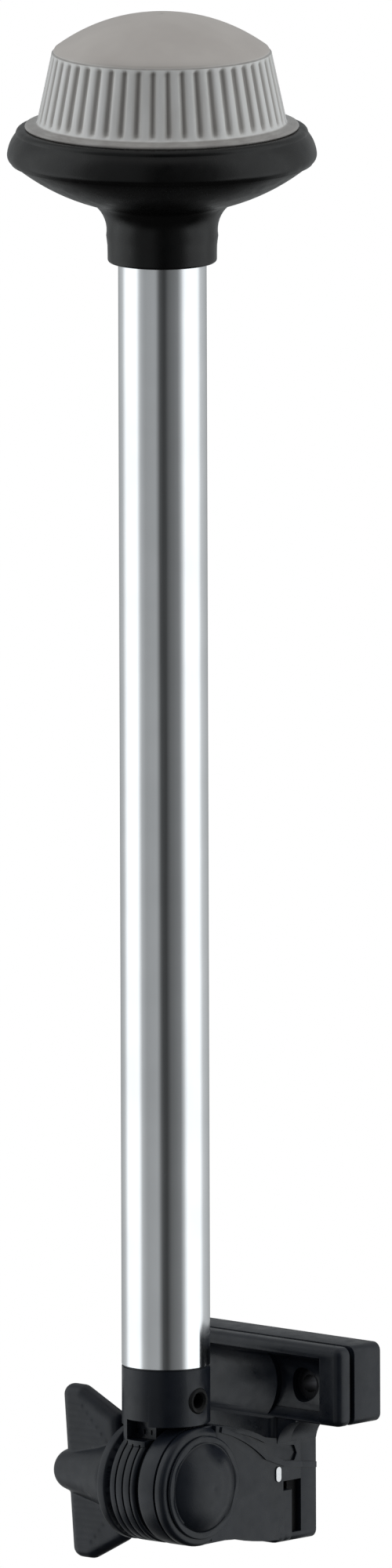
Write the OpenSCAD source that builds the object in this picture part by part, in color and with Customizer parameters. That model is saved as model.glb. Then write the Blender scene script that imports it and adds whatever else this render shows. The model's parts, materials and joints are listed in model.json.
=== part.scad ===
// Fold-down all-round navigation light: a lamp on an aluminium pole, which folds about a
// clamped hinge on a bolted base. Millimetres. The origin is on the wall that the base is
// bolted to, level with the hinge. +Z runs up the pole, +Y into the wall, +X along the hinge.

/* [Pole] */
// Outside diameter of the tube
pole_d = 25.4; // [24:0.1:26]
// Wall thickness of the tube
pole_wall = 1.5; // [1.2:0.1:2]
// Height of the lamp's neck above the hinge axis
neck_z = 356.2; // [200:1:600]
// Top of the socket's collar, where the tube starts
collar_top = 34.7; // [31:0.1:36]

/* [Hinge] */
// Distance of the hinge axis from the wall
hinge_out = 48.8; // [48:0.1:54]
// Radius of the hinge knuckle, ear and pressure washer
hinge_r = 17.2; // [17:0.1:18]
// Left face of the pole's knuckle
knuckle_x0 = -6.8; // [-7.5:0.1:-6.5]
// Right face of the pole's knuckle
knuckle_x1 = 2.8; // [2.6:0.1:3.5]
// Diameter of the hinge bolt
bolt_d = 8; // [6:0.5:8]

/* [Knob] */
// Reach of the wings from the hinge axis
wing_r = 25.6; // [22:0.1:28]
// Thickness of the wings
wing_t = 6.4; // [5:0.2:8]
// Turn of the knob at rest
wing_turn = 5; // [0:1:90]

/* [Base] */
// Ends of the upper bar
bar_x = [-43.5, 38.7];
// Bottom and top of the upper bar
bar_z = [15.8, 38.8];
// Sides of the stem; the right one is flush with the hinge's ear
stem_x = [-18.6, 13.8];
// Bottom of the stem
stem_z = -20.6; // [-24:0.1:-20]
// Radius of the base's corners and front edges
base_r = 2.5; // [2:0.1:3]
// Screw holes' places along the bar, and their height
screw_x = [-24, 19.2];
screw_z = 25.7;
// Radius of the screw holes, through the metal sleeves
screw_r = 2.6; // [2.2:0.1:2.8]

/* [Lamp] */
// Largest radius of the shield ring
ring_r = 44.45; // [44:0.1:46]
// Radius of the lens at its foot and at its shoulder
lens_r = [35.8, 31.6];
// Heights of the lens's foot, shoulder and top above the neck's edge
lens_z = [39.6, 59.8, 70.8];
// Number of flutes round the lens
flutes = 48; // [36:1:60]
// Depth of a flute
flute_depth = 0.9; // [0.5:0.1:1.2]
// Wall of the lens
lens_wall = 2.4; // [2.2:0.1:3]

/* [Hidden] */
$fn = 96;
eps = 0.01;

tube_r = pole_d / 2;
bore_r = tube_r - pole_wall;
bolt_r = bolt_d / 2;
gap = 0.05;          // between flat faces that slide on each other
run = 0.06;          // running clearance on the bolt

// Layers of the base, counted from the hinge axis towards the wall
cover_y = 31;        // front of the cover
seam_y = [35.7, 37.8];      // seam round the upper bar
stem_seam_y = [38.4, 42.3]; // seam in the stem's sides
stem_seam_z = [-17.9, -2.6];
core_y = 43;         // back of the housing's core
plate_back = hinge_out;
core_inset = 3.2;
core_foot = -16.6;

// Trough across the cover's front, and the deeper recess round each screw
trough_x = [-36, 31.2];
trough_half = 9.8;
trough_depth = 5.5;
recess_x = [-18.5, 10];
recess_half = 9.3;
recess_depth = 7.6;
bore_floor_y = 41;
sleeve_r = 4.2;
counterbore_r = 5;

// Hinge stack, along the hinge
ear_x0 = knuckle_x1 + 0.8;
ear_x1 = stem_x[1];
bolt_head_x = 9.2;
bolt_tail_x = -29.6;
washer_x = -12;
flat_washer_x = -14;
knob_x = [-36.4, flat_washer_x - gap];
insert_r = 5.6;
hub_r = 8.4;

// Lamp heights above the neck's edge
neck_foot = -1.3;
neck_screw_z = 4.5;
tube_end = 14;
rim_z = 29.3;
ring_foot = 27.5;
ring_top = 37.6;
rim_r = 42.6;
lip_z = 34.1;
skirt_r = 36.8;
lug_r = 38.2;
twist = 30;
lens_sag = 2.8;

// Heights on the pole
outlet_z = 25;
outlet_r = 3.8;
ledge_z = hinge_r + 0.7;
rivet_z = 44;
connector_z = 62;

// Screws from behind that hold plate and housing together
fixing_at = [[-38.5, 27.3], [33.8, 27.3], [-12, -13.5], [7.5, -13.5]];
clip_y = 32.6;

// Points on an arc from p to q. It bulges by sag to the right of the way from p to q.
function bow(p, q, sag, n = 8) =
    let (d = q - p, half = norm(d) / 2, r = (half * half + sag * sag) / (2 * sag),
         right = [d.y, -d.x] / (2 * half), c = (p + q) / 2 + right * (sag - r),
         a0 = atan2(p.y - c.y, p.x - c.x), a1 = atan2(q.y - c.y, q.x - c.x),
         sweep = (a1 - a0) > 180 ? a1 - a0 - 360 : (a1 - a0) < -180 ? a1 - a0 + 360 : a1 - a0)
    [for (i = [0 : n]) c + abs(r) * [cos(a0 + sweep * i / n), sin(a0 + sweep * i / n)]];

// Points on a circle's arc from angle a0 to angle a1
function arc(c, r, a0, a1, n = 6) =
    [for (i = [0 : n]) c + r * [cos(a0 + (a1 - a0) * i / n), sin(a0 + (a1 - a0) * i / n)]];

// Children drawn round the hinge axis, with their own z along +X
module along_hinge(x = 0) {
    translate([x, -hinge_out, 0]) rotate([0, 90, 0]) children();
}

// Children drawn with the hinge axis at the origin
module at_hinge() {
    translate([0, -hinge_out, 0]) children();
}

// An outline in y and z, as seen from +X, made solid from x0 to x1
module side_plate(x0, x1, points) {
    at_hinge() translate([x0, 0, 0]) rotate([90, 0, 90]) linear_extrude(x1 - x0) polygon(points);
}

// A disc on the hinge axis from x0 to x1, with rounded rims and a bore
module hinge_disc(x0, x1, r, bore, rim) {
    along_hinge(x0) rotate_extrude() polygon(concat(
        [[bore, 0]], arc([r - rim, rim], rim, -90, 0, 4),
        arc([r - rim, x1 - x0 - rim], rim, 0, 90, 4), [[bore, x1 - x0]]));
}

// A groove round the hinge axis, cut from radius r outwards
module hinge_groove(x, w, r) {
    along_hinge(x) difference() {
        cylinder(r = hinge_r + 0.6, h = w);
        translate([0, 0, -1]) cylinder(r = r, h = w + 2);
    }
}

// A block in the base: x and z ranges, from y0 back to y1, its front edges rounded
module base_block(x, z, y0, y1, r) {
    at_hinge() hull() for (px = [x[0] + r, x[1] - r], pz = [z[0] + r, z[1] - r])
        translate([px, y0, pz]) rotate([-90, 0, 0]) rotate_extrude($fn = 28) polygon(concat(
            [[0, y1 - y0], [0, 0]], arc([0, r], r, -90, 0, 6), [[r, y1 - y0]]));
}

// A flat-sided block in the base, with rounded corners only
module base_slab(x, z, y0, y1, r) {
    at_hinge() translate([0, y1, 0]) rotate([90, 0, 0]) linear_extrude(y1 - y0) {
        translate([x[0] + r, z[0]]) square([x[1] - x[0] - 2 * r, z[1] - z[0]]);
        translate([x[0], z[0] + r]) square([x[1] - x[0], z[1] - z[0] - 2 * r]);
        for (px = [x[0] + r, x[1] - r], pz = [z[0] + r, z[1] - r]) translate([px, pz]) circle(r);
    }
}

// The upper bar's outline, drawn in by inset
module bar_slab(y0, y1, inset) {
    base_slab([bar_x[0] + inset, bar_x[1] - inset], [bar_z[0] + inset, bar_z[1] - inset],
              y0, y1, base_r);
}

// A box across the stem, drawn in from its sides by inset
module stem_box(inset, z, y0, y1) {
    at_hinge() translate([stem_x[0] + inset, y0, z[0]])
        cube([stem_x[1] - stem_x[0] - 2 * inset, y1 - y0, z[1] - z[0]]);
}

// The stem's outline with rounded corners, up to this height
module stem_slab(top, y0, y1) {
    base_slab(stem_x, [stem_z, top], y0, y1, base_r);
}

// The housing's core that fills the plate, grown by extra
module base_core(extra) {
    bar_slab(seam_y[0] - eps, core_y + extra, core_inset - extra);
    stem_box(core_inset - extra, [core_foot - extra, bar_z[0] + 6],
             stem_seam_y[0] - eps, core_y + extra);
}

// Fillet in the inner corner between stem and bar, with its feather edges cut off
module inner_fillet(side, y0, y1) {
    f = 8.5;
    leg = 0.85 * f;
    at_hinge() translate([stem_x[side], y1, bar_z[0]]) rotate([90, 0, 0]) linear_extrude(y1 - y0)
        mirror([1 - side, 0]) difference() {
            translate([-eps, -leg]) square([leg, leg + 0.5]);
            translate([f, -f]) circle(f);
        }
}

// A hole through the base, from y0 to y1
module base_hole(x, z, r, y0, y1) {
    at_hinge() translate([x, y0, z]) rotate([-90, 0, 0]) cylinder(r = r, h = y1 - y0);
}

// ---- Base -----------------------------------------------------------------------------

module mount_plate() {
    color([0.14, 0.16, 0.20]) difference() {
        union() {
            bar_slab(seam_y[1], plate_back, 0);
            for (side = [0, 1]) inner_fillet(side, seam_y[1], plate_back);
            difference() {
                stem_slab(bar_z[0] + 6, stem_seam_y[0], plate_back);
                stem_box(-1, [stem_seam_z[0], bar_z[1]], stem_seam_y[0] - 1, stem_seam_y[1]);
            }
            raised_edge(stem_seam_y[1], plate_back - 0.5);
        }
        base_core(0.2);
        for (x = screw_x) base_hole(x, screw_z, sleeve_r, core_y, plate_back + 1);
        for (p = fixing_at) {
            base_hole(p[0], p[1], 1.6, core_y, plate_back + 1);
            base_hole(p[0], p[1], 3, plate_back - 2, plate_back + 1);
        }
    }
}

// Upper edge of the arm's side, and the raised edge below it, seen from +X
arm_top = concat([[0, 17.1]], bow([6, 17.1], [27.2, 11.1], -1, 6), [[36.5, 9.4], [plate_back, 8.6]]);
arm_ridge = concat(bow([8, 16.6], [27.2, 6.3], -1.2, 8), [[35, 3.4], [plate_back, 1.5]]);

module base_housing() {
    color([0.15, 0.17, 0.21]) difference() {
        union() {
            base_block(bar_x, bar_z, cover_y, seam_y[0], base_r);
            base_block(stem_x, [stem_z, bar_z[1] - 1], cover_y, seam_y[0], base_r);
            difference() {
                stem_slab(24, seam_y[0] - eps, stem_seam_y[0]);
                stem_box(-1, [bar_z[0], 40], seam_y[0], 50);
            }
            stem_box(0, [stem_seam_z[1], bar_z[0]], stem_seam_y[0] - eps, stem_seam_y[1]);
            for (side = [0, 1]) inner_fillet(side, cover_y + 1.2, seam_y[1]);
            base_core(0);
            ear_and_arm();
            raised_edge(0, stem_seam_y[1]);
        }
        trough(trough_x[0], trough_x[1], trough_half, trough_depth);
        trough(recess_x[1], trough_x[1], recess_half, recess_depth);
        trough(trough_x[0], recess_x[0], recess_half, recess_depth);
        for (x = screw_x) {
            base_hole(x, screw_z, counterbore_r, cover_y, bore_floor_y);
            base_hole(x, screw_z, sleeve_r, bore_floor_y - 1, core_y + 1);
        }
        for (p = fixing_at) base_hole(p[0], p[1], 1.25, 35.5, core_y + 1);
        along_hinge(0) cylinder(r = bolt_r + run, h = 20);
        along_hinge(bolt_head_x) cylinder(r = 8.5, h = 8);
        hinge_groove(10.2, 0.8, hinge_r - 0.9);
        side_groove();
        keeper_pocket();
    }
}

// A scoop across the cover's front, with a floor curved about the hinge's direction
module trough(x0, x1, half, depth) {
    r = (half * half + depth * depth) / (2 * depth);
    at_hinge() translate([x0, cover_y + depth - r, screw_z])
        rotate([0, 90, 0]) cylinder(r = r, h = x1 - x0);
}

// The ear round the bolt, and the arm that carries it
module ear_and_arm() {
    hinge_disc(ear_x0, ear_x1, hinge_r, 2, 1.5);
    side_plate(ear_x0, ear_x1 - 1.4, arm_outline(0, -17.1));
    side_plate(ear_x1 - 2, ear_x1, arm_outline(4, -16.2));
}

// The arm's outline, from a point below the hinge round to the upper edge above it
function arm_outline(y, z) =
    concat([[y, z]], bow([14, -16.9], [33, -19.4], 0.5, 5), [[36, 8]],
           [for (i = [len(arm_top) - 2 : -1 : y > 0 ? 1 : 0]) arm_top[i]]);

// Raised edge along the arm's side, between these distances from the hinge
module raised_edge(y0, y1) {
    intersection() {
        side_plate(ear_x1 - 1, ear_x1 + 0.7, concat(arm_ridge,
            [for (i = [len(arm_ridge) - 1 : -1 : 0]) arm_ridge[i] - [0.4, 1.6]]));
        at_hinge() translate([0, y0, -5]) cube([20, y1 - y0, 30]);
    }
}

// Groove between the arm's raised edge and its upper edge
module side_groove() {
    side_plate(ear_x1 - 0.9, ear_x1 + 1, concat(
        [for (i = [3 : len(arm_ridge) - 2]) arm_ridge[i] + [0, 0.1]], [[39.5, 2.9], [40.6, 5]],
        [[39.5, 7.4]], [for (i = [len(arm_top) - 2 : -1 : 4]) arm_top[i] - [0, 1.6]]));
}

// A rounded tab across the hinge, which the keeper clip and its pocket share
module keeper_tab(x0, x1, r) {
    at_hinge() for (z = [-1.4, 0.8]) translate([x0, clip_y, z]) rotate([0, 90, 0])
        cylinder(r = r, h = x1 - x0);
    at_hinge() translate([x0, clip_y - r, -1.4]) cube([x1 - x0, 2 * r, 2.2]);
}

// Pocket in the stem's right side for the keeper clip, open to the seam behind it
module keeper_pocket() {
    at_hinge() translate([stem_x[1] - 3, clip_y + 2.2, -5.4])
        cube([6, stem_seam_y[0] - clip_y - 2.1, 2.8]);
    keeper_tab(stem_x[1] - 4, stem_x[1] + 3, 1.1);
}

module body_seal() {
    color([0.05, 0.05, 0.06]) difference() {
        bar_slab(seam_y[0], seam_y[1], 1.5);
        bar_slab(seam_y[0] - 1, seam_y[1] + 1, core_inset);
        stem_box(0, [bar_z[0], bar_z[0] + 3.3], seam_y[0] - 1, seam_y[1] + 1);
    }
}

// Seal in the seam of the stem, round the foot of the housing's core
module stem_seal() {
    color([0.05, 0.05, 0.06]) difference() {
        stem_box(2, stem_seam_z, stem_seam_y[0], stem_seam_y[1]);
        stem_box(core_inset, [core_foot, 10], stem_seam_y[0] - 1, core_y);
    }
}

module mount_sleeves() {
    color([0.30, 0.30, 0.31]) for (x = screw_x) difference() {
        base_hole(x, screw_z, sleeve_r, bore_floor_y - 0.6, plate_back);
        base_hole(x, screw_z, screw_r, bore_floor_y - 2, plate_back + 1);
    }
}

// Countersunk screws from behind, which hold the plate to the housing
module housing_screws() {
    color([0.7, 0.7, 0.72]) for (p = fixing_at) difference() {
        union() {
            base_hole(p[0], p[1], 1.25, 36, plate_back - 1.9);
            base_hole(p[0], p[1], 2.9, plate_back - 2, plate_back - 0.3);
        }
        at_hinge() translate([p[0], plate_back - 0.2, p[1]]) for (a = [0, 90]) rotate([0, a, 0])
            cube([3.4, 1.6, 0.7], center = true);
    }
}

// Sprung stainless clip, whose end shows in the stem's side
module keeper_clip() {
    color([0.85, 0.85, 0.86]) keeper_tab(stem_x[1] - 3.9, stem_x[1] + 0.3, 1.05);
}

// ---- Hinge ----------------------------------------------------------------------------

module hinge_bolt() {
    color([0.8, 0.8, 0.82]) union() {
        along_hinge(bolt_tail_x) cylinder(r = bolt_r, h = bolt_head_x - bolt_tail_x + eps);
        along_hinge(bolt_head_x) rotate_extrude() polygon(concat(
            [[0, 0], [7.4, 0]], arc([5.4, 1.4], 2, 0, 90, 5), [[0, 3.4]]));
    }
}

// Domed cap with a raised rim, pressed into the ear over the bolt's head
module hinge_cap() {
    dome_h = 5;
    color([0.12, 0.13, 0.16]) along_hinge(ear_x1) rotate_extrude() polygon(concat(
        [[7.9, -3], [8.45, -3], [8.45, 0]], arc([14.5, 0.5], 0.5, -90, 90, 6),
        [[13.0, 1.0], [12.8, 0.6]], bow([12.5, 1.1], [0, dome_h], 1.5, 12),
        [[0, dome_h - 1.8]], bow([0, 3.1], [7.9, 0], -0.6, 6)));
}

module friction_disc() {
    color([0.08, 0.08, 0.09])
        hinge_disc(knuckle_x1 + gap, ear_x0, hinge_r - 1.4, bolt_r + run, 0.15);
}

// Thick washer that spreads the knob's clamp over the knuckle's whole face
module pressure_washer() {
    face = knuckle_x0 - gap - washer_x;
    color([0.10, 0.11, 0.14]) along_hinge(washer_x) rotate_extrude() polygon(concat(
        [[bolt_r + run, 0]], arc([hinge_r - 1.2, 1.2], 1.2, -90, 0, 4),
        arc([hinge_r - 0.6, 2.8], 0.6, 0, 60, 3),
        [[14.6, face - 0.9], [14.6, face], [bolt_r + run, face]]));
}

module flat_washer() {
    color([0.78, 0.78, 0.8]) along_hinge(flat_washer_x) difference() {
        cylinder(r = 9.5, h = washer_x - flat_washer_x);
        translate([0, 0, -1]) cylinder(r = bolt_r + run, h = 4);
    }
}

// ---- Knob -----------------------------------------------------------------------------

module wing_knob() {
    color([0.16, 0.18, 0.22]) at_hinge() rotate([wing_turn, 0, 0]) difference() {
        union() {
            wing(1);
            wing(-1);
            knob_hub();
        }
        translate([-30, 0, 0]) rotate([0, 90, 0]) cylinder(r = insert_r, h = 30);
    }
}

// The hub, with a domed end
module knob_hub() {
    translate([knob_x[0], 0, 0]) rotate([0, 90, 0]) rotate_extrude() polygon(concat(
        [[0, -4.4]], bow([0.4, -4.4], [6, -0.4], 1.3, 8), [[6.8, 3], [hub_r, 11], [10.2, 18]],
        arc([9.7, knob_x[1] - knob_x[0] - 0.8], 0.8, 0, 90, 4), [[0, knob_x[1] - knob_x[0]]]));
}

// One wing of the knob, round all over, with fine grip ribs on both faces
module wing(side) {
    r = wing_t / 2;
    tip = [[knob_x[0] + r, 3], [knob_x[0] + r, wing_r - r], [-29.8, wing_r - r], [-17.8, 16.2], [-17.4, 4]];
    hull() for (p = tip) translate([p[0], 0, side * p[1]]) sphere(r, $fn = 28);
    for (i = [0 : 6]) translate([-34, -wing_t / 2 - 0.15, side * (wing_r - 5.5 - i * 1.9) - 0.4])
        cube([6 + i * 1.7, wing_t + 0.3, 0.8]);
}

// Brass insert that runs on the bolt
module knob_insert() {
    color([0.78, 0.62, 0.30]) at_hinge() translate([-30, 0, 0]) rotate([0, 90, 0]) difference() {
        cylinder(r = insert_r, h = knob_x[1] + 30);
        translate([0, 0, -1]) cylinder(r = bolt_r + run, h = 30);
    }
}

// ---- Pole -----------------------------------------------------------------------------

module pole_socket() {
    color([0.13, 0.14, 0.18]) difference() {
        union() {
            hinge_disc(knuckle_x0, knuckle_x1, hinge_r, bolt_r + run, 0.8);
            at_hinge() socket_collar();
        }
        along_hinge(-14) cylinder(r = bolt_r + run, h = 30);
        at_hinge() {
            translate([0, 0, outlet_z]) cylinder(r = 7.6, h = 60);
            translate([0, 0, outlet_z]) sphere(7.6);
            translate([0, 0, outlet_z]) rotate([0, 90, 0]) cylinder(r = outlet_r, h = 20);
            translate([-4.4, -16, 13.6]) cube([8.3, 8.6, 5.8]);
        }
        for (x = [-4.6, -1.9, 0.8]) hinge_groove(x, 0.6, hinge_r - 0.7);
    }
}

// Collar and the plug that the tube slides over, cut clear of the ear and the washer
module socket_collar() {
    difference() {
        union() {
            translate([0, 0, 12]) cylinder(r = tube_r, h = collar_top - 12.6);
            translate([0, 0, collar_top - 0.7]) cylinder(r = tube_r - 0.5, h = 0.7);
            translate([0, 0, collar_top - 1]) cylinder(r = bore_r, h = 24);
            translate([0, 0, collar_top + 23 - eps]) cylinder(r1 = bore_r, r2 = bore_r - 1, h = 1.5);
        }
        translate([knuckle_x1, -20, 0]) cube([20, 40, ledge_z]);
        translate([-20 + knuckle_x0, -20, 0]) cube([20, 40, ledge_z - 0.4]);
    }
}

// Rubber grommet in the cable outlet
module cable_grommet() {
    color([0.04, 0.04, 0.05]) at_hinge() translate([7.9, 0, outlet_z]) rotate([0, 90, 0])
        rotate_extrude() polygon([[2.2, 0], [outlet_r, 0], [outlet_r, 4.4], [3.4, 5.1],
                                  [2.7, 5.1], [2.2, 4.4]]);
}

module pole_tube() {
    color([0.85, 0.86, 0.88]) at_hinge() difference() {
        translate([0, 0, collar_top]) cylinder(r = tube_r, h = neck_z + tube_end - collar_top);
        translate([0, 0, collar_top - 1]) cylinder(r = bore_r, h = neck_z);
        translate([-tube_r - 1, 0, rivet_z]) rotate([0, 90, 0]) cylinder(r = 1.6, h = 5);
        translate([0, tube_r - 3, neck_z + neck_screw_z]) rotate([-90, 0, 0])
            cylinder(r = 1.5, h = 5);
    }
}

// Blind rivet that holds the tube on the socket's plug
module socket_rivet() {
    color([0.8, 0.8, 0.82]) at_hinge() translate([-tube_r, 0, rivet_z]) rotate([0, -90, 0]) {
        translate([0, 0, -pole_wall]) cylinder(r = 1.6, h = pole_wall + 0.3);
        translate([0, 0, 0.1]) rotate_extrude() polygon(concat([[0, 0], [3, 0]],
            bow([3, 0.1], [0, 1.1], 0.35, 5)));
    }
}

// Two-pole connector that the boat's cable plugs into
module wire_connector() {
    color([0.85, 0.85, 0.8]) at_hinge() translate([0, 0, connector_z]) difference() {
        union() {
            translate([-4.4, -2.6, -14]) cube([8.8, 5.2, 14]);
            translate([-3.4, -3.3, -10]) cube([6.8, 6.6, 2]);
        }
        for (x = [-2, 2]) translate([x, 0, -15]) cylinder(r = 1, h = 6);
    }
}

module wire(x) {
    at_hinge() translate([x, 0, connector_z]) cylinder(r = 1, h = neck_z + 15.5 - connector_z);
}

module positive_wire() color([0.7, 0.05, 0.05]) wire(2);

module negative_wire() color([0.06, 0.06, 0.06]) wire(-2);

// ---- Lamp -----------------------------------------------------------------------------

module at_lamp(z = 0) {
    translate([0, -hinge_out, neck_z + z]) children();
}

module neck_seal() {
    color([0.04, 0.04, 0.05]) at_lamp(1.2) rotate_extrude() translate([tube_r + 0.9, 0]) circle(0.9);
}

module lamp_housing() {
    color([0.06, 0.06, 0.065]) at_lamp() difference() {
        rotate_extrude() polygon(concat(
            [[0, 15.2], [6, 15.2], [6, tube_end], [tube_r, tube_end], [tube_r, 2.2],
             [tube_r + 1.8, 2.2], [tube_r + 1.8, neck_foot]],
            arc([14.8, neck_foot + 0.9], 0.9, -90, 0, 4), [[15.75, 3.5]],
            bow([16.1, 6.4], [19.2, 15.2], -1.2, 8),
            bow([20.4, 15.9], [rim_r, ring_foot - 0.1], 1.3, 10),
            [[rim_r, rim_z], [33.8, rim_z], [33.8, 25.4]],
            bow([33.8, 24.8], [11, 17.4], -0.6, 6), [[9.6, 17.4], [9.6, 16.2], [0, 16.2]]));
        translate([0, 0, 10]) cylinder(r = 4.6, h = 8);
        translate([0, tube_r - 1, neck_screw_z]) rotate([-90, 0, 0]) cylinder(r = 1.5, h = 6);
        for (a = [0, 180]) rotate(a + 20) translate([13, 0, 16.5]) cylinder(r = 1.1, h = 4);
    }
}

// Set screw through the back of the neck into the tube
module neck_screw() {
    color([0.7, 0.7, 0.72]) at_lamp(neck_screw_z) translate([0, tube_r - 1.4, 0]) rotate([-90, 0, 0])
        difference() {
            union() {
                cylinder(r = 1.5, h = 5);
                translate([0, 0, 5]) cylinder(r1 = 2.9, r2 = 2.2, h = 1.2);
            }
            for (a = [0, 90]) rotate(a) translate([0, 0, 6.3]) cube([3.2, 0.7, 1], center = true);
        }
}

// Glare-shield ring: it clamps on the housing's rim and its lip holds the lens's lugs
module shield_ring() {
    color([0.05, 0.05, 0.055]) at_lamp() difference() {
        rotate_extrude() polygon(concat(
            [[rim_r, ring_foot], [43.3, ring_foot]], bow([43.5, 27.9], [ring_r, 29.8], 0.25, 4),
            bow([ring_r, 30.2], [41.9, 36], 0.5, 6), arc([40.5, 36.1], 1.5, 10, 90, 5),
            [[37.5, ring_top], [37.5, lip_z], [38.9, lip_z], [38.9, rim_z + eps], [rim_r, rim_z + eps]]));
        for (i = [0 : 2]) rotate(i * 120 + twist) translate([36, -4.6, rim_z + 0.5]) cube([2.9, 9.2, 9]);
    }
}

module lens_seal() {
    color([0.07, 0.07, 0.075]) at_lamp(rim_z) difference() {
        cylinder(r = 36.9, h = 1.4);
        translate([0, 0, -1]) cylinder(r = 34, h = 4);
    }
}

module bulb_holder() {
    color([0.16, 0.16, 0.17]) at_lamp() difference() {
        union() {
            translate([0, 0, 16.2]) cylinder(r = 9.5, h = 14);
            translate([0, 0, 29.4]) cylinder(r = 10.2, h = 1.6);
            hull() for (a = [0, 180]) rotate(a + 20) translate([13, 0, 18.6])
                cylinder(r = 3, h = 1.8, $fn = 32);
        }
        translate([0, 0, 18.4]) cylinder(r = 7.7, h = 20);
        for (x = [-2, 2]) translate([x, 0, 16]) cylinder(r = 1.05, h = 5);
        for (a = [0, 180]) {
            rotate(a + 20) translate([13, 0, 16]) cylinder(r = 1.2, h = 8);
            rotate(a) translate([6.5, -1.2, 24]) cube([4.2, 2.4, 9]);
        }
    }
}

module holder_screws() {
    color([0.75, 0.75, 0.77]) at_lamp() for (a = [0, 180]) rotate(a + 20) translate([13, 0, 0]) {
        translate([0, 0, 16.8]) cylinder(r = 1.1, h = 3.7);
        translate([0, 0, 20.4]) cylinder(r1 = 2.3, r2 = 1.7, h = 1.2);
    }
}

// Sprung contact under the bulb
module contact_spring() {
    color([0.8, 0.66, 0.34]) at_lamp(18.4) {
        cylinder(r = 3.2, h = 0.6);
        translate([0, 0, 0.5]) cylinder(r1 = 2.4, r2 = 1.4, h = 4);
        translate([0, 0, 4.4]) cylinder(r = 1.8, h = 0.8);
    }
}

// Bayonet cap of the bulb, with its two side pins and end contact
module bulb_cap() {
    color([0.8, 0.68, 0.36]) at_lamp(24) difference() {
        union() {
            cylinder(r = 7.5, h = 13.5);
            translate([0, 0, -0.4]) cylinder(r = 2.4, h = 1);
            rotate([0, 90, 0]) translate([-4, 0, -8.6]) cylinder(r = 1, h = 17.2);
        }
        translate([0, 0, 2]) cylinder(r = 6.9, h = 13);
    }
}

module bulb_glass() {
    color([0.9, 0.92, 0.95]) at_lamp() rotate_extrude() polygon(concat(
        [[0, 32], [6.8, 32], [6.8, 38]], bow([7, 39.5], [9, 45], 0.3, 4), arc([0, 45.5], 9, 4, 90, 10),
        arc([0, 45.5], 8.3, 90, 4, 10), bow([8.3, 45], [6.3, 39.5], -0.3, 4), [[6.1, 33], [0, 33]]));
}

// Clear fluted lens with a smooth crown, a flange, and a skirt with three bayonet lugs
module lens() {
    draft = atan((lens_r[0] - lens_r[1]) / (lens_z[1] - lens_z[0]));
    color([0.86, 0.87, 0.88]) at_lamp() difference() {
        union() {
            lens_body();
            for (i = [0 : 2]) rotate(i * 120) intersection() {
                translate([34, -4, rim_z + 1.8]) cube([5, 8, 2.4]);
                translate([0, 0, rim_z]) cylinder(r = lug_r, h = 8);
            }
        }
        for (i = [0 : flutes - 1]) rotate(i * 360 / flutes)
            translate([lens_r[0], 0, lens_z[0] + 0.5]) rotate([0, -draft, 0]) rotate(45)
                translate([-flute_depth / sqrt(2), -flute_depth / sqrt(2), 0])
                    cube([4, 4, lens_z[1] - lens_z[0] - 2.4]);
    }
}

module lens_body() {
    skirt_in = skirt_r - 2.2;
    foot = [lens_r[0], lens_z[0]];
    shoulder = [lens_r[1], lens_z[1]];
    rotate_extrude() polygon(concat(
        [[skirt_in, rim_z + 1.6], [skirt_r, rim_z + 1.6], [skirt_r, ring_top + 0.4],
         [39.2, ring_top + 0.4], [39.6, ring_top + 0.7], [39.4, ring_top + 1.6]],
        [[36.2, ring_top + 1.9], foot, shoulder + [0.3, -1.4], shoulder + [-0.35, -0.3]],
        bow(shoulder + [-1.1, 0.4], [0, lens_z[2]], lens_sag, 14),
        [[0, lens_z[2] - lens_wall]],
        bow([0, lens_z[2] - lens_wall], [lens_r[1] - lens_wall - 1, lens_z[1] - lens_wall + 0.6],
            -lens_sag * 0.85, 12),
        [[lens_r[0] - lens_wall, lens_z[0] - 1]]));
}

mount_plate();
base_housing();
body_seal();
stem_seal();
mount_sleeves();
housing_screws();
keeper_clip();
hinge_bolt();
hinge_cap();
friction_disc();
pressure_washer();
flat_washer();
pole_socket();
cable_grommet();
pole_tube();
socket_rivet();
wire_connector();
positive_wire();
negative_wire();
neck_seal();
lamp_housing();
neck_screw();
shield_ring();
lens_seal();
bulb_holder();
holder_screws();
contact_spring();
bulb_cap();
bulb_glass();
lens();
wing_knob();
knob_insert();
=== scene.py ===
"""Fold-down all-round navigation light, seen from the front and to the right of its wall base."""
import json
import math

import bmesh
import bpy
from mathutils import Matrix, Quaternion, Vector


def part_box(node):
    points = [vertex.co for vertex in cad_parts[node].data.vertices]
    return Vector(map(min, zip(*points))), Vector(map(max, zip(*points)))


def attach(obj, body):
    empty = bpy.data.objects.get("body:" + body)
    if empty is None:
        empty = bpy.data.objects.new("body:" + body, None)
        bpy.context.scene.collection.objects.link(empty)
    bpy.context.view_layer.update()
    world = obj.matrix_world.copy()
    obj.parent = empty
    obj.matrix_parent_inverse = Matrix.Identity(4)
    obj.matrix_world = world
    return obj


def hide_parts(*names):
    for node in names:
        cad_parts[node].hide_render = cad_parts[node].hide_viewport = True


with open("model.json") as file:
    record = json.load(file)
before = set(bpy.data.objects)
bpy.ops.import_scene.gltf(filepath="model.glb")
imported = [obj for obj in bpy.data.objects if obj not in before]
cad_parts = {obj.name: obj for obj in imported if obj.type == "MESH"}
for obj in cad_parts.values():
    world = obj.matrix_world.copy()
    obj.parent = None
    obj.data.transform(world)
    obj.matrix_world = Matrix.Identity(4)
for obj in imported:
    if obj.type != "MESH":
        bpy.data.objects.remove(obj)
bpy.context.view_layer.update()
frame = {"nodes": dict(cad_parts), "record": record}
nodes = frame["nodes"]
record = frame["record"]
slots = {row["node"]: row["material_slot"] for row in record["subparts"]}
body_of = {node: body for body, members in record["behaviour"]["bodies"].items()
           for node in members}

MM = 0.001


def centre_of(node):
    low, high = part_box(node)
    return (low + high) / 2


def top_of(node):
    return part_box(node)[1].z


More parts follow.
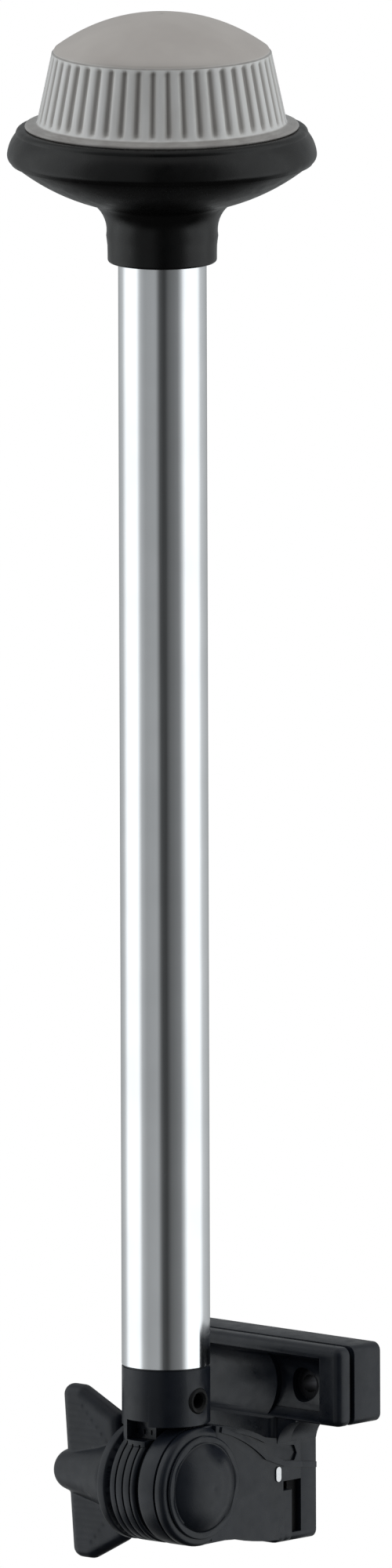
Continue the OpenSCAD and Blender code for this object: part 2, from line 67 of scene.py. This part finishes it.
POLE = centre_of("pole_tube")
LAMP_AXIS = Vector((POLE.x, POLE.y, 0))
HINGE = Vector((0, centre_of("flat_washer").y, 0))

# ---- Node helpers ----------------------------------------------------------------------


def blank_material(name):
    """A node material with its Principled shader and object coordinates."""
    mat = bpy.data.materials.new(name)
    mat.use_nodes = True
    tree = mat.node_tree
    shader = tree.nodes["Principled BSDF"]
    coords = tree.nodes.new("ShaderNodeTexCoord").outputs["Object"]
    return mat, tree, shader, coords


def noise(tree, coords, per_metre, detail, stretch=(1, 1, 1)):
    """Noise with its grain given in cycles per metre; stretch scales single axes."""
    mapping = tree.nodes.new("ShaderNodeMapping")
    mapping.inputs["Scale"].default_value = [per_metre * s for s in stretch]
    tree.links.new(coords, mapping.inputs["Vector"])
    tex = tree.nodes.new("ShaderNodeTexNoise")
    tex.inputs["Scale"].default_value = 1.0
    tex.inputs["Detail"].default_value = detail
    tree.links.new(mapping.outputs["Vector"], tex.inputs["Vector"])
    return tex.outputs["Fac"]


def ramp(tree, fac, stops):
    """A colour ramp; each stop is (place, colour)."""
    node = tree.nodes.new("ShaderNodeValToRGB")
    elements = node.color_ramp.elements
    while len(elements) < len(stops):
        elements.new(0.5)
    for element, (place, color) in zip(elements, stops):
        element.position = place
        element.color = (*color, 1)
    tree.links.new(fac, node.inputs["Fac"])
    return node.outputs["Color"]


def spread(tree, value, given, wanted=(0, 1), shape="LINEAR"):
    """value, from the range given, spread to the range wanted, and held at its ends."""
    node = tree.nodes.new("ShaderNodeMapRange")
    node.interpolation_type = shape
    for socket, number in zip(("From Min", "From Max", "To Min", "To Max"), (*given, *wanted)):
        node.inputs[socket].default_value = number
    tree.links.new(value, node.inputs["Value"])
    return node.outputs["Result"]


def roughness(tree, fac, low, high):
    """Noise spread to a roughness from low to high. Most of the noise lies in 0.3 to 0.7."""
    return spread(tree, fac, (0.3, 0.7), (low, high))


def arithmetic(tree, operation, *terms):
    """A Math node on outputs and plain numbers."""
    node = tree.nodes.new("ShaderNodeMath")
    node.operation = operation
    for socket, term in zip(node.inputs, terms):
        if isinstance(term, (int, float)):
            socket.default_value = term
        else:
            tree.links.new(term, socket)
    return node.outputs["Value"]


def blend(tree, factor, first, second):
    """first where factor is 0 and second where it is 1. A plain number is a grey."""
    node = tree.nodes.new("ShaderNodeMix")
    node.data_type = "RGBA"
    tree.links.new(factor, node.inputs["Factor"])
    for socket, color in (("A", first), ("B", second)):
        if isinstance(color, (int, float)):
            node.inputs[socket].default_value = (color, color, color, 1)
        else:
            tree.links.new(color, node.inputs[socket])
    return node.outputs["Result"]


def bump(tree, fac, distance, under=None):
    """Bump of this height in metres, over an earlier bump if there is one."""
    node = tree.nodes.new("ShaderNodeBump")
    node.inputs["Strength"].default_value = 1.0
    node.inputs["Distance"].default_value = distance
    tree.links.new(fac, node.inputs["Height"])
    if under is not None:
        tree.links.new(under, node.inputs["Normal"])
    return node.outputs["Normal"]


def shade(tree, shader, color, rough, normal):
    for socket, output in (("Base Color", color), ("Roughness", rough), ("Normal", normal)):
        tree.links.new(output, shader.inputs[socket])


# ---- Materials -------------------------------------------------------------------------

# Grain of the textures, in cycles per metre
MOTTLE = 90          # uneven colour of moulded parts
SKIN = 140           # slow waves in a moulded skin
WEAR = 320           # duller and glossier spots of moulded parts
PATCHES = 45         # duller patches of metals
GLASS_SKIN = 160
GLASS_WEAR = 500
SPARK_GRAIN = 2600   # spark-eroded mould grain
SOFT_GRAIN = 1800    # grain of rubber and of wire
DRAWN_LINES = 1500   # drawn or turned lines of metals

# Heights of the bumps, in metres
GRAIN_HEIGHT = 0.02 * MM
SKIN_HEIGHT = 0.09 * MM
LINE_HEIGHT = 0.004 * MM
GLASS_HEIGHT = 0.04 * MM

PLASTIC_IOR = 1.49
GLASS_IOR = 1.5


def moulded(name, dark, light, rough, grain=SPARK_GRAIN, specular=0.5):
    """Moulded plastic or rubber: faint mottling, a fine spark-eroded grain, a wavy skin."""
    mat, tree, shader, coords = blank_material(name)
    waves = bump(tree, noise(tree, coords, SKIN, 1), SKIN_HEIGHT)
    shade(tree, shader,
          ramp(tree, noise(tree, coords, MOTTLE, 4), [(0.35, dark), (0.7, light)]),
          roughness(tree, noise(tree, coords, WEAR, 3), *rough),
          bump(tree, noise(tree, coords, grain, 2), GRAIN_HEIGHT, under=waves))
    shader.inputs["Specular IOR Level"].default_value = specular
    return mat


def metal(name, dark, light, rough, stretch, per_metre=DRAWN_LINES, height=LINE_HEIGHT):
    """Metal with drawn or turned lines, and patches where it is a little duller."""
    mat, tree, shader, coords = blank_material(name)
    lines = noise(tree, coords, per_metre, 3, stretch)
    shade(tree, shader,
          ramp(tree, noise(tree, coords, PATCHES, 3), [(0.35, dark), (0.65, light)]),
          roughness(tree, lines, *rough), bump(tree, lines, height))
    shader.inputs["Metallic"].default_value = 1.0
    return mat


def clear_glass(name, dark, light, rough):
    """Clear glass with a slightly uneven skin."""
    mat, tree, shader, coords = blank_material(name)
    skin = noise(tree, coords, GLASS_SKIN, 2)
    shade(tree, shader, ramp(tree, skin, [(0.3, dark), (0.7, light)]),
          roughness(tree, noise(tree, coords, GLASS_WEAR, 2), *rough),
          bump(tree, skin, GLASS_HEIGHT))
    shader.inputs["Transmission Weight"].default_value = 1.0
    shader.inputs["IOR"].default_value = GLASS_IOR
    return mat


def lens_material(name):
    """Moulded lens: a milky crown, and glossy flutes whose colour has painted shade in the
    valleys and painted highlights on the ribs.

    The mesh says how high a point is on its flute, and whether it is on the crown or the side."""
    mat, tree, shader, coords = blank_material(name)
    marks = {}
    for mark in ("flute", "side"):
        node = tree.nodes.new("ShaderNodeAttribute")
        node.attribute_name = mark
        marks[mark] = node.outputs["Fac"]
    # Painted reflection: upright streaks of noise are added to the flute height, so the wall
    # colour gets light and dark streaks across the flutes.
    painted_streak_strength, streak_middle = 0.7, 0.35
    painted_streaks = noise(tree, coords, 130, 3, (1, 1, 0.12))
    height = arithmetic(tree, "MULTIPLY_ADD", painted_streaks, painted_streak_strength,
                        arithmetic(tree, "SUBTRACT", marks["flute"], streak_middle))
    crown = ramp(tree, noise(tree, coords, 60, 3), [
        (0.3, (0.65, 0.600, 0.566)), (0.7, (0.73, 0.680, 0.642))])
    # Wall colour by flute height: painted shade, dark in the valleys, and painted highlight, near
    # white on the ribs.
    wall = ramp(tree, height, [
        (0.05, (0.36, 0.338, 0.322)), (0.4, (0.52, 0.497, 0.478)), (0.7, (0.78, 0.757, 0.735)),
        (1.0, (0.98, 0.97, 0.96))])
    crown_roughness, side_roughness = 0.42, 0.12
    shade(tree, shader, blend(tree, marks["side"], crown, wall),
          spread(tree, marks["side"], (0, 1), (crown_roughness, side_roughness)),
          bump(tree, noise(tree, coords, 900, 2), 0.006 * MM))
    shader.inputs["Transmission Weight"].default_value = 0.1
    shader.inputs["IOR"].default_value = PLASTIC_IOR
    return mat


# One finish for each material slot in the record
FINISH = {
    "moulded_nylon": moulded(
        "moulded_nylon", (0.009, 0.0118, 0.018), (0.0145, 0.018, 0.027), (0.26, 0.40),
        specular=0.32),
    "black_plastic": moulded(
        "black_plastic", (0.003, 0.003, 0.0032), (0.006, 0.0056, 0.0056), (0.24, 0.34),
        specular=0.3),
    "seal_rubber": moulded(
        "seal_rubber", (0.006, 0.006, 0.007), (0.012, 0.012, 0.012), (0.6, 0.8), SOFT_GRAIN,
        specular=0.3),
    "stainless": metal(
        "stainless", (0.55, 0.55, 0.56), (0.68, 0.68, 0.69), (0.16, 0.30), (0.05, 1, 1)),
    # Blackened steel. Its near-black colour also paints the shade inside the deep mounting holes,
    # where the sleeves sit.
    "dark_steel": metal(
        "dark_steel", (0.02, 0.02, 0.022), (0.045, 0.045, 0.05), (0.4, 0.55), (1, 0.05, 1)),
    "bright_aluminium": metal(
        "bright_aluminium", (0.86, 0.87, 0.89), (0.92, 0.93, 0.95), (0.13, 0.19),
        (1, 1, 0.012), 1100, 0.003 * MM),
    "white_plastic": moulded(
        "white_plastic", (0.62, 0.62, 0.57), (0.72, 0.72, 0.67), (0.35, 0.5)),
    "red_wire": moulded(
        "red_wire", (0.36, 0.012, 0.012), (0.46, 0.02, 0.018), (0.35, 0.5), SOFT_GRAIN),
    "black_wire": moulded(
        "black_wire", (0.012, 0.012, 0.012), (0.02, 0.02, 0.02), (0.35, 0.5), SOFT_GRAIN),
    "brass": metal(
        "brass", (0.55, 0.38, 0.15), (0.72, 0.52, 0.22), (0.2, 0.36), (1, 1, 0.08)),
    "bulb_glass": clear_glass(
        "bulb_glass", (0.93, 0.94, 0.95), (0.98, 0.99, 1.0), (0.01, 0.04)),
    "lens_clear": lens_material("lens_clear"),
}

for name, obj in nodes.items():
    obj.data.materials.clear()
    obj.data.materials.append(FINISH[slots[name]])

# ---- Pieces made here ------------------------------------------------------------------


def add_piece(name, mesh, node, body):
    """Link a mesh as a smooth piece that rides a body, in the material slot of this CAD node."""
    piece = bpy.data.objects.new(name, mesh)
    bpy.context.scene.collection.objects.link(piece)
    mesh.materials.clear()
    mesh.materials.append(FINISH[slots[node]])
    mesh.polygons.foreach_set("use_smooth", [True] * len(mesh.polygons))
    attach(piece, body)
    return piece


def evaluated_mesh(obj):
    """A new mesh of the object, with its modifiers or its bevel applied."""
    return bpy.data.meshes.new_from_object(
        obj.evaluated_get(bpy.context.evaluated_depsgraph_get()))


def revolved(name, rings, steps, radius_at, marks):
    """A closed solid of revolution about the lamp's axis. Each ring is (r, z, tag), in metres.

    radius_at(ring, turn) gives a point's radius, and marks[key](ring, turn) its attributes."""
    turns = [2 * math.pi * i / steps for i in range(steps)]
    verts, faces = [], []
    for ring in rings:
        for turn in turns:
            r = radius_at(ring, turn)
            verts.append((LAMP_AXIS.x + r * math.cos(turn), LAMP_AXIS.y + r * math.sin(turn),
                          ring[1]))
    for start in range(0, (len(rings) - 1) * steps, steps):
        for i in range(steps):
            j = (i + 1) % steps
            faces.append((start + i, start + j, start + steps + j, start + steps + i))
    faces.append(tuple(reversed(range(steps))))
    faces.append(tuple(range((len(rings) - 1) * steps, len(rings) * steps)))
    mesh = bpy.data.meshes.new(name)
    mesh.from_pydata(verts, [], faces)
    mesh.update()
    for key, mark in marks.items():
        layer = mesh.attributes.new(key, "FLOAT", "POINT")
        layer.data.foreach_set("value", [mark(ring, turn) for ring in rings for turn in turns])
    return mesh


def arc_points(start, end, sag, count):
    """Points in (r, z) from start to end, bulging upwards by sag."""
    (r0, z0), (r1, z1) = start, end
    half = math.hypot(r1 - r0, z1 - z0) / 2
    nr, nz = -(z1 - z0) / (2 * half), (r1 - r0) / (2 * half)
    if nz < 0:
        nr, nz = -nr, -nz
    pts = []
    for i in range(count + 1):
        t = i / count
        lift = sag * (1 - (2 * t - 1) ** 2)
        pts.append((r0 + (r1 - r0) * t + nr * lift, z0 + (z1 - z0) * t + nz * lift))
    return pts


# The lens, in millimetres. Its heights are measured from its top.
FLUTES = 48
STEPS_PER_FLUTE = 8
FLUTE_DEPTH = 0.8
RIB_BREADTH = 5      # a power: a high one gives broad ribs and thin valleys
FOOT_R, FOOT_Z = 35.8, -31.2
SHOULDER_R, SHOULDER_Z = 31.6, -11.0
FLANGE_Z = FOOT_Z - 2.0
WALL_LEVELS = 18
CENTRE_R = 0.3
CROWN_THICKNESS = 2.6
CROWN_SAG, INNER_SAG = 2.6, 2.2

# What a ring belongs to. On the wall the tag also rises, by 1 from the foot to the shoulder.
CROWN, WALL, LEDGE, FLANGE = 0, 1, 3, 4
# The ledge and the flange have no flutes. These low places on the wall colour give them painted
# shade.
PAINTED_SHADE_HEIGHT = {LEDGE: 0.35, FLANGE: 0.25}


def lens_rings():
    """Rings (r, z, tag) in millimetres: up the flange and the wall, then over the crown."""
    rings = [(r, FLANGE_Z + z, FLANGE) for r, z in (
        (34.7, -6), (36.6, -6), (36.7, 0), (39.1, 0), (39.45, 0.5), (39.2, 1.0), (38.6, 1.15),
        (36.8, 1.3), (36.2, 1.5))]
    for i in range(WALL_LEVELS + 1):
        t = i / WALL_LEVELS
        rings.append((FOOT_R + (SHOULDER_R - FOOT_R) * t,
                      FOOT_Z + (SHOULDER_Z - 0.4 - FOOT_Z) * t, WALL + t))
    rings += [(SHOULDER_R - 0.1, SHOULDER_Z - 0.25, LEDGE),
              (SHOULDER_R - 0.5, SHOULDER_Z - 0.1, LEDGE),
              (SHOULDER_R - 0.6, SHOULDER_Z + 0.35, CROWN)]
    rings += [(r, z, CROWN) for r, z in arc_points(
        (SHOULDER_R - 0.9, SHOULDER_Z + 0.9), (CENTRE_R, 0), CROWN_SAG, 16)]
    rings += [(r, z, CROWN) for r, z in arc_points(
        (CENTRE_R, -CROWN_THICKNESS), (SHOULDER_R - 3.4, SHOULDER_Z - 2), INNER_SAG, 12)]
    return rings + [(FOOT_R - 2.6, FOOT_Z - 1, CROWN)]


def lens_mesh(name):
    """The lens with broad rounded ribs and thin valleys, which run out at the foot."""

    def groove(ring, turn):
        """How far down in a valley a point lies, from 0 to 1."""
        t = ring[2] - WALL
        if t < 0 or ring[2] >= LEDGE:
            return 0.0
        fade = min(1.0, t / 0.09) ** 0.5 * min(1.0, (1 - t) / 0.05)
        return fade * abs(math.cos(turn * FLUTES / 2)) ** RIB_BREADTH

    def radius(ring, turn):
        return ring[0] - FLUTE_DEPTH * MM * groove(ring, turn)

    def flute(ring, turn):
        return PAINTED_SHADE_HEIGHT.get(ring[2], 1 - groove(ring, turn))

    def side(ring, turn):
        return 0.0 if ring[2] == CROWN else 1.0

    top = top_of("lens")
    rings = [(r * MM, top + z * MM, tag) for r, z, tag in lens_rings()]
    return revolved(name, rings, FLUTES * STEPS_PER_FLUTE, radius,
                    {"flute": flute, "side": side})


WELD = 0.003 * MM
FLAT = math.radians(0.5)      # faces that meet at less than this become one
CREASE = math.radians(34)     # edges sharper than this are rounded off, or stay sharp
ROUNDING = 0.18 * MM


def dressed(node, width):
    """The CAD node's shape with its hard edges rounded off by width, and shaded smoothly."""
    form = bmesh.new()
    form.from_mesh(nodes[node].data)
    bmesh.ops.remove_doubles(form, verts=form.verts, dist=WELD)
    bmesh.ops.dissolve_limit(form, angle_limit=FLAT, verts=form.verts, edges=form.edges)
    if width:
        hard = [edge for edge in form.edges
                if len(edge.link_faces) == 2 and edge.calc_face_angle(0) > CREASE]
        bmesh.ops.bevel(form, geom=hard, offset=width, offset_type="OFFSET", segments=2,
                        profile=0.6, affect="EDGES", clamp_overlap=True)
    mesh = bpy.data.meshes.new(node + "_dressed")
    form.to_mesh(mesh)
    form.free()
    piece = add_piece(node + "_dressed", mesh, node, body_of[node])
    mesh.set_sharp_from_angle(angle=CREASE)
    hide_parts(node)


def melted(name, node):
    """The CAD node with its corners and joins melted into soft moulded fillets."""
    piece = add_piece(name, nodes[node].data.copy(), node, body_of[node])
    remesh = piece.modifiers.new("remesh", "REMESH")
    remesh.mode = "VOXEL"
    remesh.voxel_size = 0.35 * MM
    remesh.use_smooth_shade = True
    soften = piece.modifiers.new("soften", "SMOOTH")
    soften.factor = 0.5
    soften.iterations = 6
    final = evaluated_mesh(piece)
    final.name = name
    piece.modifiers.clear()
    piece.data = final
    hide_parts(node)


# The bulb's filament, in metres
COIL_SPAN = 7 * MM
COIL_R = 0.5 * MM
COIL_TURNS = 10
POINTS_PER_TURN = 10
FILAMENT_R = 0.12 * MM
SUPPORT_DROP = 13 * MM
COIL_BELOW_TOP = 9 * MM


def filament(name):
    """A coiled filament on two supports, inside the bulb."""
    middle = Vector((LAMP_AXIS.x, LAMP_AXIS.y, top_of("bulb_glass") - COIL_BELOW_TOP))
    half = COIL_SPAN / 2
    count = COIL_TURNS * POINTS_PER_TURN
    route = [(-half, 0, -SUPPORT_DROP), (-half, 0, 0)]
    for i in range(count + 1):
        turn = 2 * math.pi * i / POINTS_PER_TURN
        route.append((COIL_SPAN * (i / count - 0.5), COIL_R * math.sin(turn),
                      COIL_R * math.cos(turn)))
    route += [(half, 0, 0), (half, 0, -SUPPORT_DROP)]
    curve = bpy.data.curves.new(name, "CURVE")
    curve.dimensions = "3D"
    curve.bevel_depth = FILAMENT_R
    curve.bevel_resolution = 2
    spline = curve.splines.new("POLY")
    spline.points.add(len(route) - 1)
    for point, place in zip(spline.points, route):
        point.co = (*(middle + Vector(place)), 1)
    holder = bpy.data.objects.new("filament_curve", curve)
    bpy.context.scene.collection.objects.link(holder)
    mesh = evaluated_mesh(holder)
    bpy.data.objects.remove(holder)
    mesh.name = name
    add_piece(name, mesh, "contact_spring", "pole")


lens = add_piece("lens_fluted", lens_mesh("lens_fluted"), "lens", "lens_unit")
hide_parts("lens")
melted("knob_moulded", "wing_knob")
for moulding in ("mount_plate", "base_housing", "pole_socket", "lamp_housing", "shield_ring"):
    dressed(moulding, ROUNDING)
for turned in ("hinge_cap", "pressure_washer", "cable_grommet", "pole_tube", "keeper_clip",
               "mount_sleeves", "flat_washer", "neck_seal"):
    dressed(turned, 0)
filament("bulb_filament")

# ---- Studio ----------------------------------------------------------------------------

AZIMUTH, ELEVATION = math.radians(42), math.radians(9.5)
VIEW_HEIGHT = 0.4496
CAMERA_ROLL = math.radians(-0.19)   # the photographed pole leans by this much
CAMERA_DISTANCE = 3
AIM_HEIGHT, AIM_RIGHT = 0.203, 0.0085
TOWARDS_CAMERA = Vector((math.sin(AZIMUTH), -math.cos(AZIMUTH), 0))
RIGHT = Vector((math.cos(AZIMUTH), math.sin(AZIMUTH), 0))
UP = Vector((0, 0, 1))


def add_camera():
    data = bpy.data.cameras.new("camera")
    data.type = "ORTHO"
    data.ortho_scale = VIEW_HEIGHT
    data.clip_end = 50
    camera = bpy.data.objects.new("camera", data)
    bpy.context.scene.collection.objects.link(camera)
    back = TOWARDS_CAMERA * math.cos(ELEVATION) + UP * math.sin(ELEVATION)
    offset = back.cross(RIGHT) * AIM_HEIGHT * math.cos(ELEVATION) + RIGHT * AIM_RIGHT
    roll = Quaternion(back, CAMERA_ROLL)
    camera.location = HINGE + roll @ offset + back * CAMERA_DISTANCE
    camera.rotation_mode = "QUATERNION"
    camera.rotation_quaternion = roll @ back.to_track_quat("Z", "Y")
    bpy.context.scene.camera = camera


# Brightness of the studio round the object, by bearing in degrees from the camera's side,
# to the right. Two tall soft boxes stand to the left and right.
STUDIO = [(-180, 0.3), (-150, 0.4), (-130, 0.5), (-112, 1.2), (-72, 1.2), (-62, 0.45),
          (-48, 0.32), (-18, 0.36), (-8, 0.06), (6, 0.04), (16, 0.12), (42, 0.20), (50, 0.5),
          (60, 1.2), (104, 1.2), (116, 0.6), (130, 0.5), (180, 0.3)]
STUDIO_TINT = (0.965, 1.0, 1.01)
TOP_LIGHT = 0.6
BELOW = 0.04

# Where the walls give way to the top light and to the dark below, as sines of the elevation
TOP_EDGE = (0.68, 0.92)
BELOW_EDGE = (-0.5, -0.8)


def add_world():
    """A studio that lights the object and shows in its gloss. The camera itself sees white."""
    world = bpy.data.worlds.new("studio")
    world.use_nodes = True
    tree = world.node_tree
    direction = tree.nodes.new("ShaderNodeTexCoord").outputs["Generated"]

    def along(axis):
        node = tree.nodes.new("ShaderNodeVectorMath")
        node.operation = "DOT_PRODUCT"
        node.inputs[1].default_value = axis
        tree.links.new(direction, node.inputs[0])
        return node.outputs["Value"]

    bearing = arithmetic(tree, "ARCTAN2", along(RIGHT), along(TOWARDS_CAMERA))
    walls = ramp(tree, spread(tree, bearing, (-math.pi, math.pi)), [
        ((degrees + 180) / 360, [value * tint for tint in STUDIO_TINT])
        for degrees, value in STUDIO])
    upward = spread(tree, along(UP), TOP_EDGE, shape="SMOOTHSTEP")
    downward = spread(tree, along(UP), BELOW_EDGE, shape="SMOOTHSTEP")
    light = blend(tree, downward, blend(tree, upward, walls, TOP_LIGHT), BELOW)
    seen = tree.nodes.new("ShaderNodeLightPath").outputs["Is Camera Ray"]
    tree.links.new(blend(tree, seen, light, 1), tree.nodes["Background"].inputs["Color"])
    bpy.context.scene.world = world


FLOOR_STEPS, FLOOR_R, FLOOR_Z = 96, 3.0, -0.6
FLOOR_GLOW = 0.45


def add_floor():
    """A pale round floor, which stays out of the object's gloss and out of its light."""
    mesh = bpy.data.meshes.new("floor")
    turns = [2 * math.pi * i / FLOOR_STEPS for i in range(FLOOR_STEPS)]
    mesh.from_pydata([(FLOOR_R * math.cos(turn), FLOOR_R * math.sin(turn), FLOOR_Z)
                      for turn in turns], [], [tuple(range(FLOOR_STEPS))])
    mat, tree, shader, coords = blank_material("pale_floor")
    mottle = ramp(tree, noise(tree, coords, 3, 3),
                  [(0.3, (0.88, 0.88, 0.88)), (0.7, (0.92, 0.92, 0.92))])
    tree.links.new(mottle, shader.inputs["Base Color"])
    tree.links.new(roughness(tree, noise(tree, coords, 40, 2), 0.6, 0.75),
                   shader.inputs["Roughness"])
    shader.inputs["Emission Color"].default_value = (1, 1, 1, 1)
    shader.inputs["Emission Strength"].default_value = FLOOR_GLOW
    mesh.materials.append(mat)
    floor = bpy.data.objects.new("floor", mesh)
    bpy.context.scene.collection.objects.link(floor)
    floor.visible_glossy = False
    floor.visible_diffuse = False


add_camera()
add_world()
add_floor()
bpy.context.scene.view_settings.view_transform = "Standard"
